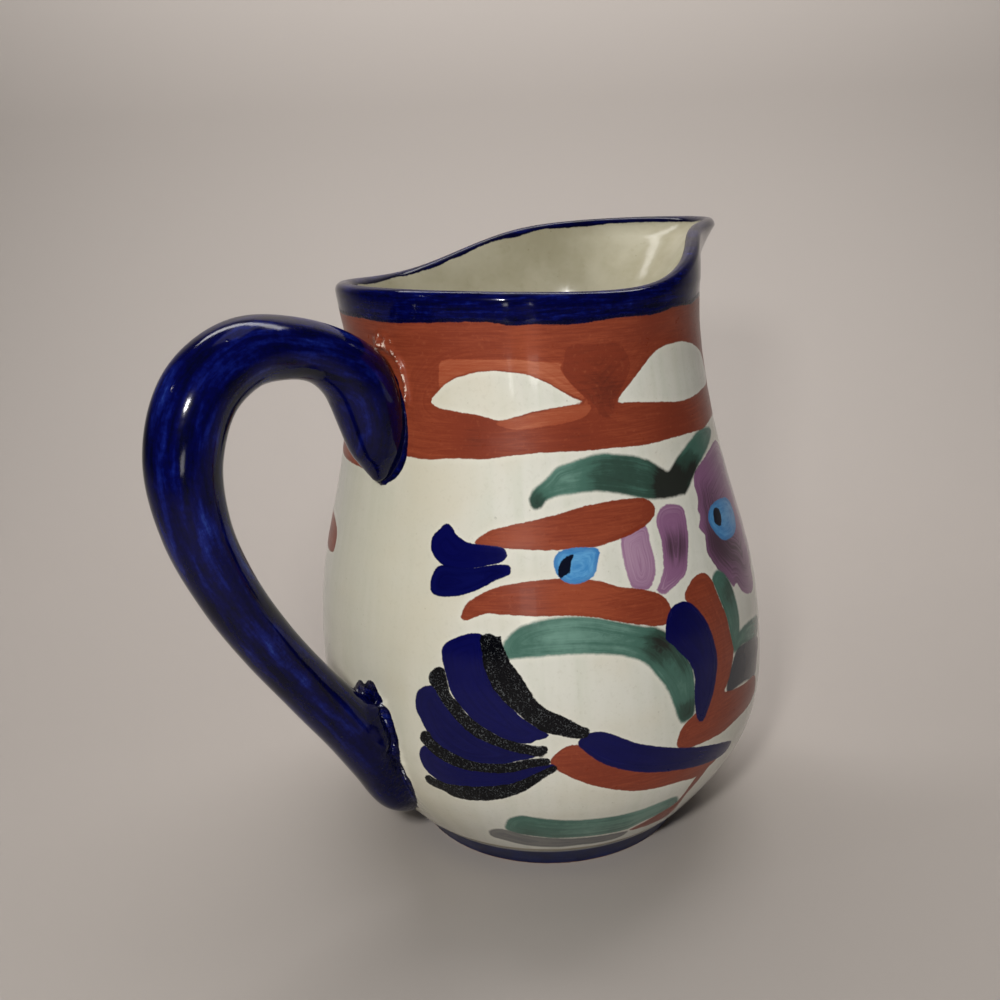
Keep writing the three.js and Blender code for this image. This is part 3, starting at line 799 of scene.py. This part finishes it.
def ramp(v, lo, hi, out_lo=0.0, out_hi=1.0, smoothed=True):
    n = node("ShaderNodeMapRange", interpolation_type="SMOOTHSTEP" if smoothed else "LINEAR")
    L(v, n.inputs["Value"])
    n.inputs["From Min"].default_value, n.inputs["From Max"].default_value = lo, hi
    n.inputs["To Min"].default_value, n.inputs["To Max"].default_value = out_lo, out_hi
    return n.outputs["Result"]


def mix(fac, a, b):
    n = node("ShaderNodeMix", data_type="RGBA")
    for sock, v in ((n.inputs[0], fac), (n.inputs[6], a), (n.inputs[7], b)):
        if isinstance(v, (int, float, tuple)):
            sock.default_value = v
        else:
            L(v, sock)
    return n.outputs[2]


def noise(vector, scale, detail=3.0, rough=0.5, distort=0.0):
    n = node("ShaderNodeTexNoise")
    n.inputs["Scale"].default_value, n.inputs["Detail"].default_value = scale, detail
    n.inputs["Roughness"].default_value, n.inputs["Distortion"].default_value = rough, distort
    L(vector, n.inputs["Vector"])
    return n.outputs["Fac"]


def vec(x, y, z):
    n = node("ShaderNodeCombineXYZ")
    for i, v in enumerate((x, y, z)):
        if isinstance(v, (int, float)):
            n.inputs[i].default_value = v
        else:
            L(v, n.inputs[i])
    return n.outputs[0]


def scaled(v, sx, sy, sz):
    n = node("ShaderNodeVectorMath", operation="MULTIPLY")
    L(v, n.inputs[0])
    n.inputs[1].default_value = (sx, sy, sz)
    return n.outputs[0]


pos = node("ShaderNodeTexCoord").outputs["Object"]      # metres
wz, wa = attr("wall_z"), attr("wall_deg")
streaky = vec(math_("MULTIPLY", wa, 0.28), math_("MULTIPLY", wz, 0.02), 0)
flow = noise(streaky, 1.0, 3, 0.45)                       # greenish runs down the wall
cloud = noise(pos, 26, 3, 0.55)
grain = noise(pos, 900, 3, 0.6)
wobble = noise(pos, 420, 4, 0.6)                         # unsteady edge of the brush
wob2 = noise(pos, 1500, 2, 0.6)
edge_noise = math_("ADD", math_("MULTIPLY", math_("SUBTRACT", wobble, 0.5), 0.75), math_("MULTIPLY", math_("SUBTRACT", wob2, 0.5), 0.35))

# ---- ground glaze
ground = mix(ramp(flow, 0.35, 0.75, 0.0, 0.55), rgb(217, 217, 207), rgb(202, 205, 190))
ground = mix(ramp(cloud, 0.45, 0.75), ground, rgb(213, 209, 193))
ground = mix(math_("MULTIPLY", ramp(grain, 0.52, 0.75), 0.12), ground, rgb(150, 146, 120))
halo = math_("MULTIPLY", ramp(attr("d_any"), 0.0, 2.2, 1.0, 0.0), 0.35)
ground = mix(halo, ground, rgb(232, 230, 218))
pin = node("ShaderNodeTexVoronoi", feature="F1")
pin.inputs["Scale"].default_value = 95
L(pos, pin.inputs["Vector"])
pin_on = ramp(noise(pos, 60, 1, 0.5), 0.50, 0.60)
pinhole = math_("MULTIPLY", ramp(pin.outputs["Distance"], 0.026, 0.05, 1.0, 0.0), pin_on)
pin2 = node("ShaderNodeTexVoronoi", feature="F1")
pin2.inputs["Scale"].default_value = 330
L(pos, pin2.inputs["Vector"])
speck = math_("MULTIPLY", ramp(pin2.outputs["Distance"], 0.05, 0.11, 1.0, 0.0), ramp(noise(pos, 150, 1, 0.5), 0.52, 0.6))
ground = mix(math_("MULTIPLY", pinhole, 0.85), ground, rgb(70, 58, 44))
ground = mix(math_("MULTIPLY", speck, 0.28), ground, rgb(140, 128, 100))

# ---- inside: duller, greener glaze, darkened as painted shade inside the hollow
inner = mix(ramp(noise(pos, 38, 4, 0.6), 0.35, 0.7), rgb(190, 185, 163), rgb(172, 166, 141))
inner = mix(math_("MULTIPLY", ramp(noise(pos, 300, 3, 0.6), 0.55, 0.8), 0.2), inner, rgb(140, 130, 100))
inner = mix(math_("MULTIPLY", speck, 0.4), inner, rgb(110, 98, 72))
ground = mix(math_("MULTIPLY", ramp(wa, 148.0, 170.0), 0.4), ground, rgb(203, 196, 168))      # painted shade: the ground turns darker and warmer towards the handle
colour = mix(attr("is_inside"), ground, inner)


def mask(name, soft=0.22, wob=1.0, grow=0.12):
    d = math_("ADD", attr(name), math_("MULTIPLY", edge_noise, wob))
    return ramp(d, -soft + grow, soft + grow, 1.0, 0.0)


def brush(name, across=2.2, along=0.05, seed=0.0):
    """streaks that follow the stroke's own outline"""
    return noise(vec(math_("MULTIPLY", attr(name), across), math_("MULTIPLY", wa, along), math_("ADD", math_("MULTIPLY", wz, along), seed)), 1.0, 4, 0.65)


band_streak = noise(vec(math_("MULTIPLY", wa, 0.09), math_("MULTIPLY", wz, 1.5), 3.0), 1.0, 7, 0.78)

# ---- purple, green, grey-blue washes
lav_t = math_("ADD", attr("t_lav"), math_("MULTIPLY", math_("SUBTRACT", brush("d_lav", 1.6), 0.5), 1.4))
lav = mix(ramp(lav_t, -0.5, 0.3), rgb(168, 134, 160), rgb(132, 86, 126))
# the darkest purple, reached where the paint is thickest and where painted shade darkens the flower's far side
lav = mix(ramp(lav_t, 0.3, 1.1), lav, rgb(62, 30, 54))
colour = mix(math_("MULTIPLY", mask("d_lav", 0.25, 1.2), 0.96), colour, lav)

green_t = math_("ADD", attr("t_green"), math_("MULTIPLY", math_("SUBTRACT", brush("d_green", 0.9), 0.5), 0.9))
green_t = math_("ADD", green_t, math_("MULTIPLY", math_("SUBTRACT", wobble, 0.5), 0.35))
green = mix(ramp(green_t, -0.45, 0.1), rgb(104, 144, 131), rgb(58, 100, 88))
green = mix(ramp(green_t, 0.1, 0.5), green, rgb(30, 64, 54))
green = mix(ramp(green_t, 0.5, 0.95), green, rgb(3, 13, 9))
gm = mask("d_green", 0.55, 0.9)
colour = mix(math_("MULTIPLY", gm, 0.97), colour, green)

slate_t = brush("d_slate", 0.8, 0.06)
slate_low = mix(ramp(slate_t, 0.3, 0.7), rgb(84, 86, 90), rgb(118, 118, 114))
slate_high = mix(ramp(slate_t, 0.3, 0.7), rgb(3, 10, 38), rgb(12, 26, 48))
slate = mix(ramp(wz, 38.0, 48.0), slate_low, slate_high)
colour = mix(math_("MULTIPLY", mask("d_slate", 0.5, 0.8), 0.94), colour, slate)

# ---- iron red
rust_t = math_("ADD", attr("t_rust"), math_("MULTIPLY", math_("SUBTRACT", band_streak, 0.5), 1.3))
rust_t = math_("ADD", rust_t, math_("MULTIPLY", math_("SUBTRACT", brush("d_rust", 1.1), 0.5), 0.6))
thin_pass = mask("d_pass", 0.2, 1.1)
thick_pass = mask("d_over", 0.22, 1.2)
rust_t = math_("SUBTRACT", rust_t, math_("MULTIPLY", thin_pass, 0.62))
rust_t = math_("ADD", rust_t, math_("MULTIPLY", thick_pass, 0.3))
rust = mix(ramp(rust_t, -1.1, -0.35), rgb(184, 108, 76), rgb(150, 68, 40))
rust = mix(ramp(rust_t, -0.35, 0.2), rust, rgb(124, 47, 25))
rust = mix(ramp(rust_t, 0.2, 0.8), rust, rgb(96, 33, 17))
rust = mix(math_("MULTIPLY", ramp(grain, 0.55, 0.8), 0.25), rust, rgb(176, 98, 66))
rim_dark = math_("MULTIPLY", ramp(attr("d_rust"), -1.1, -0.1, 0.0, 1.0), 0.25)
rust = mix(rim_dark, rust, rgb(120, 48, 26))
colour = mix(math_("MULTIPLY", mask("d_rust", 0.18, 0.9), 0.985), colour, rust)

# ---- light blue eyes
sky_t = brush("d_sky", 1.0, 0.25)
sky = mix(ramp(sky_t, 0.3, 0.7), rgb(62, 130, 190), rgb(96, 160, 208))
sky = mix(ramp(attr("d_sky"), -1.6, -0.1, 0.0, 0.6), sky, rgb(60, 112, 170))
colour = mix(mask("d_sky", 0.2, 0.9), colour, sky)

# ---- cobalt strokes
cob_t = math_("ADD", brush("d_cob", 1.1, 0.06), math_("MULTIPLY", math_("SUBTRACT", cloud, 0.5), 0.5))
cob = mix(ramp(cob_t, 0.3, 0.75), rgb(4, 5, 66), rgb(7, 9, 76))
cob2_t = math_("ADD", brush("d_cob2", 1.1, 0.06), math_("MULTIPLY", math_("SUBTRACT", cloud, 0.5), 0.5))
cob_b = mix(ramp(cob2_t, 0.3, 0.75), rgb(4, 5, 62), rgb(9, 12, 76))
colour = mix(mask("d_cob", 0.16, 0.75, 0.34), colour, cob)
colour = mix(mask("d_cob2", 0.16, 0.75, 0.34), colour, cob_b)

# ---- black, broken up where the brush ran dry
dry = noise(pos, 420, 3, 0.7)
dry2 = noise(pos, 1900, 2, 0.8)
speckle = math_("MULTIPLY", math_("MULTIPLY", ramp(dry2, 0.55, 0.63), ramp(dry, 0.36, 0.56)), ramp(attr("d_blk"), -2.4, -0.4, 0.5, 1.0))
blk = mix(math_("MULTIPLY", speckle, 0.8), rgb(2, 3, 8), rgb(92, 96, 98))
colour = mix(mask("d_blk", 0.18, 1.15, 0.6), colour, blk)
colour = mix(mask("d_pup", 0.16, 1.0), colour, rgb(14, 18, 34))

# ---- thick cobalt of the lip and the handle
sa, sc = attr("s_along"), attr("s_across")
roll_streak = noise(vec(math_("MULTIPLY", sa, 0.06), math_("MULTIPLY", sc, 0.34), 7.0), 1.0, 4, 0.6)
roll_patch = noise(vec(math_("MULTIPLY", sa, 0.055), math_("MULTIPLY", sc, 0.13), 1.0), 1.0, 3, 0.5)
lip_streak = noise(vec(math_("MULTIPLY", wa, 0.10), math_("MULTIPLY", wz, 0.8), 5.0), 1.0, 5, 0.7)
streak = mix(attr("is_roll"), lip_streak, roll_streak)
streak = math_("ADD", math_("MULTIPLY", streak, 0.62), math_("MULTIPLY", roll_patch, 0.38))
by_root = math_("MULTIPLY", ramp(attr("d_seam"), 3.0, 14.0, 1.0, 0.0), attr("is_roll"))   # smoother and darker where the roll is worked in
streak = math_("ADD", math_("MULTIPLY", math_("SUBTRACT", streak, 0.42), math_("SUBTRACT", 1.0, math_("MULTIPLY", by_root, 0.8))), 0.42)
mottled = math_("ADD", streak, math_("MULTIPLY", math_("SUBTRACT", noise(pos, 650, 4, 0.7), 0.5), 0.22))
deep = mix(ramp(mottled, 0.36, 0.56), rgb(3, 4, 30), rgb(3, 5, 62))
deep = mix(ramp(mottled, 0.50, 0.64), deep, rgb(12, 23, 96))
deep = mix(ramp(mottled, 0.60, 0.74), deep, rgb(38, 60, 134))
pooled = math_("MULTIPLY", ramp(attr("d_thick"), -1.5, -0.3), 0.6)      # the glaze gathers dark along its edge
deep = mix(pooled, deep, rgb(2, 2, 24))
thick_mask = mask("d_thick", 0.18, 0.9)
colour = mix(thick_mask, colour, deep)

# ---- foot: matt navy slip, bare clay underneath
outside = math_("SUBTRACT", 1.0, attr("is_inside"))
foot_mask = math_("MULTIPLY", ramp(wz, FOOT_H - 0.35, FOOT_H + 0.1, 1.0, 0.0), outside)
foot = mix(ramp(noise(pos, 210, 4, 0.6), 0.35, 0.7), rgb(8, 18, 60), rgb(18, 32, 84))
colour = mix(foot_mask, colour, foot)
under_mask = ramp(wz, 0.25, 0.6, 1.0, 0.0)
clay = mix(ramp(noise(pos, 120, 5, 0.7), 0.3, 0.7), rgb(196, 138, 100), rgb(168, 108, 74))
colour = mix(under_mask, colour, clay)
edge_line = math_("MULTIPLY", ramp(wz, FOOT_H - 0.15, FOOT_H + 0.25), ramp(wz, FOOT_H + 0.5, FOOT_H + 1.3, 1.0, 0.0))
edge_line = math_("MULTIPLY", edge_line, outside)
colour = mix(math_("MULTIPLY", edge_line, 0.8), colour, rgb(216, 206, 182))

# ---- painted highlight: pale flecks along the crests of the slip stand in for glints of light on them
crest_glint = math_("MULTIPLY", ramp(attr("d_crest"), 0.25, 0.65, 1.0, 0.0), ramp(noise(pos, 900, 2, 0.6), 0.52, 0.59))
# painted highlight: bluish white low on the wall, warmer where it sits over the iron red
colour = mix(math_("MULTIPLY", crest_glint, 0.8), colour, mix(ramp(wz, 90.0, 100.0), rgb(214, 218, 230), rgb(236, 214, 198)))

# ---- gloss
rough = ramp(wobble, 0.2, 0.8, 0.10, 0.17, smoothed=False)
matt_paint = math_("MAXIMUM", mask("d_rust", 0.2), math_("MAXIMUM", mask("d_cob", 0.2), mask("d_blk", 0.2)))
rough = math_("ADD", rough, math_("MULTIPLY", matt_paint, 0.06))
rough = math_("ADD", rough, math_("MULTIPLY", mask("d_rust", 0.2), 0.10))
rough = math_("ADD", rough, math_("MULTIPLY", attr("is_inside"), 0.06))
rough = math_("ADD", rough, math_("MULTIPLY", thick_mask, -0.02))
rough = math_("ADD", rough, math_("MULTIPLY", foot_mask, 0.30))
rough = math_("ADD", rough, math_("MULTIPLY", under_mask, 0.4), None, True)

# ---- relief: orange peel, brush ridges, thick edges of colour, pinholes
h = math_("MULTIPLY", noise(pos, 240, 2, 0.5), 0.20)
h = math_("ADD", h, math_("MULTIPLY", grain, 0.035))
h = math_("ADD", h, math_("MULTIPLY", flow, 0.06))
h = math_("ADD", h, math_("MULTIPLY", math_("MULTIPLY", mask("d_rust", 0.4), band_streak), 0.10))
h = math_("ADD", h, math_("MULTIPLY", mask("d_cob", 0.5), 0.10))
h = math_("ADD", h, math_("MULTIPLY", mask("d_blk", 0.4), 0.08))
h = math_("ADD", h, math_("MULTIPLY", mask("d_thick", 0.6), 0.30))
h = math_("ADD", h, math_("MULTIPLY", math_("MULTIPLY", thick_mask, streak), 0.14))
h = math_("SUBTRACT", h, math_("MULTIPLY", pinhole, 0.5))
h = math_("ADD", h, math_("MULTIPLY", math_("MULTIPLY", attr("is_inside"), noise(pos, 95, 2, 0.5)), 1.5))      # the pour inside set unevenly
worked = math_("MULTIPLY", math_("MULTIPLY", ramp(attr("d_seam"), 2.0, 6.5, 1.0, 0.0), ramp(wz, 90.0, 100.0, 1.0, 0.3)), ramp(noise(pos, 430, 3, 0.6), 0.40, 0.62))
slip_zone = math_("MULTIPLY", math_("MULTIPLY", ramp(wz, 70.0, 76.0, 1.0, 0.0), ramp(attr("d_seam"), 5.0, 11.0, 1.0, 0.0)), thick_mask)
slip_zone = math_("MULTIPLY", slip_zone, math_("MULTIPLY", ramp(wz, 38.0, 46.0, 0.08, 1.0), math_("SUBTRACT", 1.0, math_("MULTIPLY", attr("is_roll"), ramp(attr("d_seam"), 1.0, 4.0)))))
h = math_("ADD", h, math_("MULTIPLY", math_("MULTIPLY", worked, outside), 0.6))
h = math_("ADD", h, math_("MULTIPLY", math_("MULTIPLY", slip_zone, ramp(noise(pos, 560, 3, 0.6), 0.42, 0.60)), 2.2))
bump = node("ShaderNodeBump")
bump.inputs["Strength"].default_value = 0.35
bump.inputs["Distance"].default_value = 0.0006
L(h, bump.inputs["Height"])

shader = node("ShaderNodeBsdfPrincipled")
shader.inputs["IOR"].default_value = 1.5
shader.inputs["Coat Weight"].default_value = 0.04
shader.inputs["Specular IOR Level"].default_value = 0.18
shader.inputs["Coat Roughness"].default_value = 0.06
L(colour, shader.inputs["Base Color"])
L(rough, shader.inputs["Roughness"])
L(bump.outputs["Normal"], shader.inputs["Normal"])
L(shader.outputs[0], node("ShaderNodeOutputMaterial").inputs["Surface"])

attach(pot, "root")
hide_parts("pitcher")

# =========================================================================
# plain pale sweep, soft studio light, camera
# =========================================================================


def plain(name, colour_, rough_):
    m = bpy.data.materials.new(name)
    m.use_nodes = True
    t = m.node_tree
    b = t.nodes["Principled BSDF"]
    n = t.nodes.new("ShaderNodeTexNoise")
    n.inputs["Scale"].default_value = 3.0
    mx = t.nodes.new("ShaderNodeMix")
    mx.data_type = "RGBA"
    mx.inputs[6].default_value = colour_
    mx.inputs[7].default_value = tuple(c * 0.94 for c in colour_[:3]) + (1.0,)
    t.links.new(n.outputs["Fac"], mx.inputs[0])
    t.links.new(mx.outputs[2], b.inputs["Base Color"])
    b.inputs["Roughness"].default_value = rough_
    return m


TURN = math.radians(-46)


def from_camera_frame(v):
    """camera frame (x right, y away, z up, mm) to the object's frame, metres"""
    x, y, z = v
    return Vector((x * math.cos(TURN) - y * math.sin(TURN), x * math.sin(TURN) + y * math.cos(TURN), z)) * MM


sweep_pts = []
R, BACK = 260.0, 520.0
prof = [(-1500, 0)] + [(BACK - R + R * math.sin(t), R - R * math.cos(t)) for t in np.linspace(0, math.pi / 2, 16)] + [(BACK, 1500)]
verts, fcs = [], []
for i, (y, z) in enumerate(prof):
    for x in (-1600, 1600):
        verts.append(from_camera_frame((x, y, z)))
for i in range(len(prof) - 1):
    fcs.append((2 * i, 2 * i + 1, 2 * i + 3, 2 * i + 2))
sm = bpy.data.meshes.new("sweep")
sm.from_pydata(verts, [], fcs)
sm.polygons.foreach_set("use_smooth", np.ones(len(fcs), dtype=bool))
sweep = object_of("sweep", sm)
sm.materials.append(plain("pale_paper", rgb(178, 171, 165), 0.85))

D, H, F = 338.307, 207.570, 1084.40
pan, tilt, roll_ = -0.04033, 0.28961, -0.0379
fw = Vector((math.sin(pan) * math.cos(tilt), math.cos(pan) * math.cos(tilt), -math.sin(tilt)))
rt = fw.cross(Vector((0, 0, 1))).normalized()
up = rt.cross(fw)
r2 = rt * math.cos(roll_) + up * math.sin(roll_)
u2 = -rt * math.sin(roll_) + up * math.cos(roll_)
spin = Matrix.Rotation(TURN, 3, "Z")
cols = [spin @ v for v in (r2, u2, -fw)]
cam_data = bpy.data.cameras.new("camera")
cam_data.sensor_width = 36.0
cam_data.sensor_fit = "HORIZONTAL"
cam_data.lens = F / 1000 * 36.0
cam_data.clip_start = 0.01
cam = bpy.data.objects.new("camera", cam_data)
bpy.context.scene.collection.objects.link(cam)
m4 = Matrix((cols[0], cols[1], cols[2])).transposed().to_4x4()
m4.translation = from_camera_frame((0, -D, H))
cam.matrix_world = m4
bpy.context.scene.camera = cam


def area(name, at, aim, size, watts, colour_=(1, 1, 1)):
    data = bpy.data.lights.new(name, "AREA")
    data.shape = "RECTANGLE"
    data.size, data.size_y = size
    data.energy = watts
    data.color = colour_
    ob = bpy.data.objects.new(name, data)
    bpy.context.scene.collection.objects.link(ob)
    p, q = from_camera_frame(at), from_camera_frame(aim)
    ob.location = p
    ob.rotation_euler = (q - p).to_track_quat("-Z", "Y").to_euler()
    return ob


area("key", (-59, -396, 290), (0, 0, 105), (0.036, 0.036), 1.2, (1.0, 0.98, 0.95))
area("low_glint", (-24, -350, 112), (0, 0, 130), (0.045, 0.045), 0.05, (1.0, 0.98, 0.95))
area("soft_left", (-620, -330, 620), (0, 0, 90), (0.03, 0.03), 0.13, (1.0, 0.98, 0.96))
area("soft_top", (100, 60, 1100), (0, 60, 0), (0.5, 0.5), 0.65, (1.0, 0.98, 0.97))
area("back_wash", (0, 230, 760), (0, 520, 330), (0.9, 0.2), 6.2, (1.0, 0.98, 0.97))
world = bpy.data.worlds.new("studio")
world.use_nodes = True
world.node_tree.nodes["Background"].inputs[0].default_value = (0.92, 0.94, 1.0, 1.0)
world.node_tree.nodes["Background"].inputs[1].default_value = 0.03
bpy.context.scene.world = world
bpy.context.scene.view_settings.view_transform = "Standard"
bpy.context.scene.view_settings.look = "None"

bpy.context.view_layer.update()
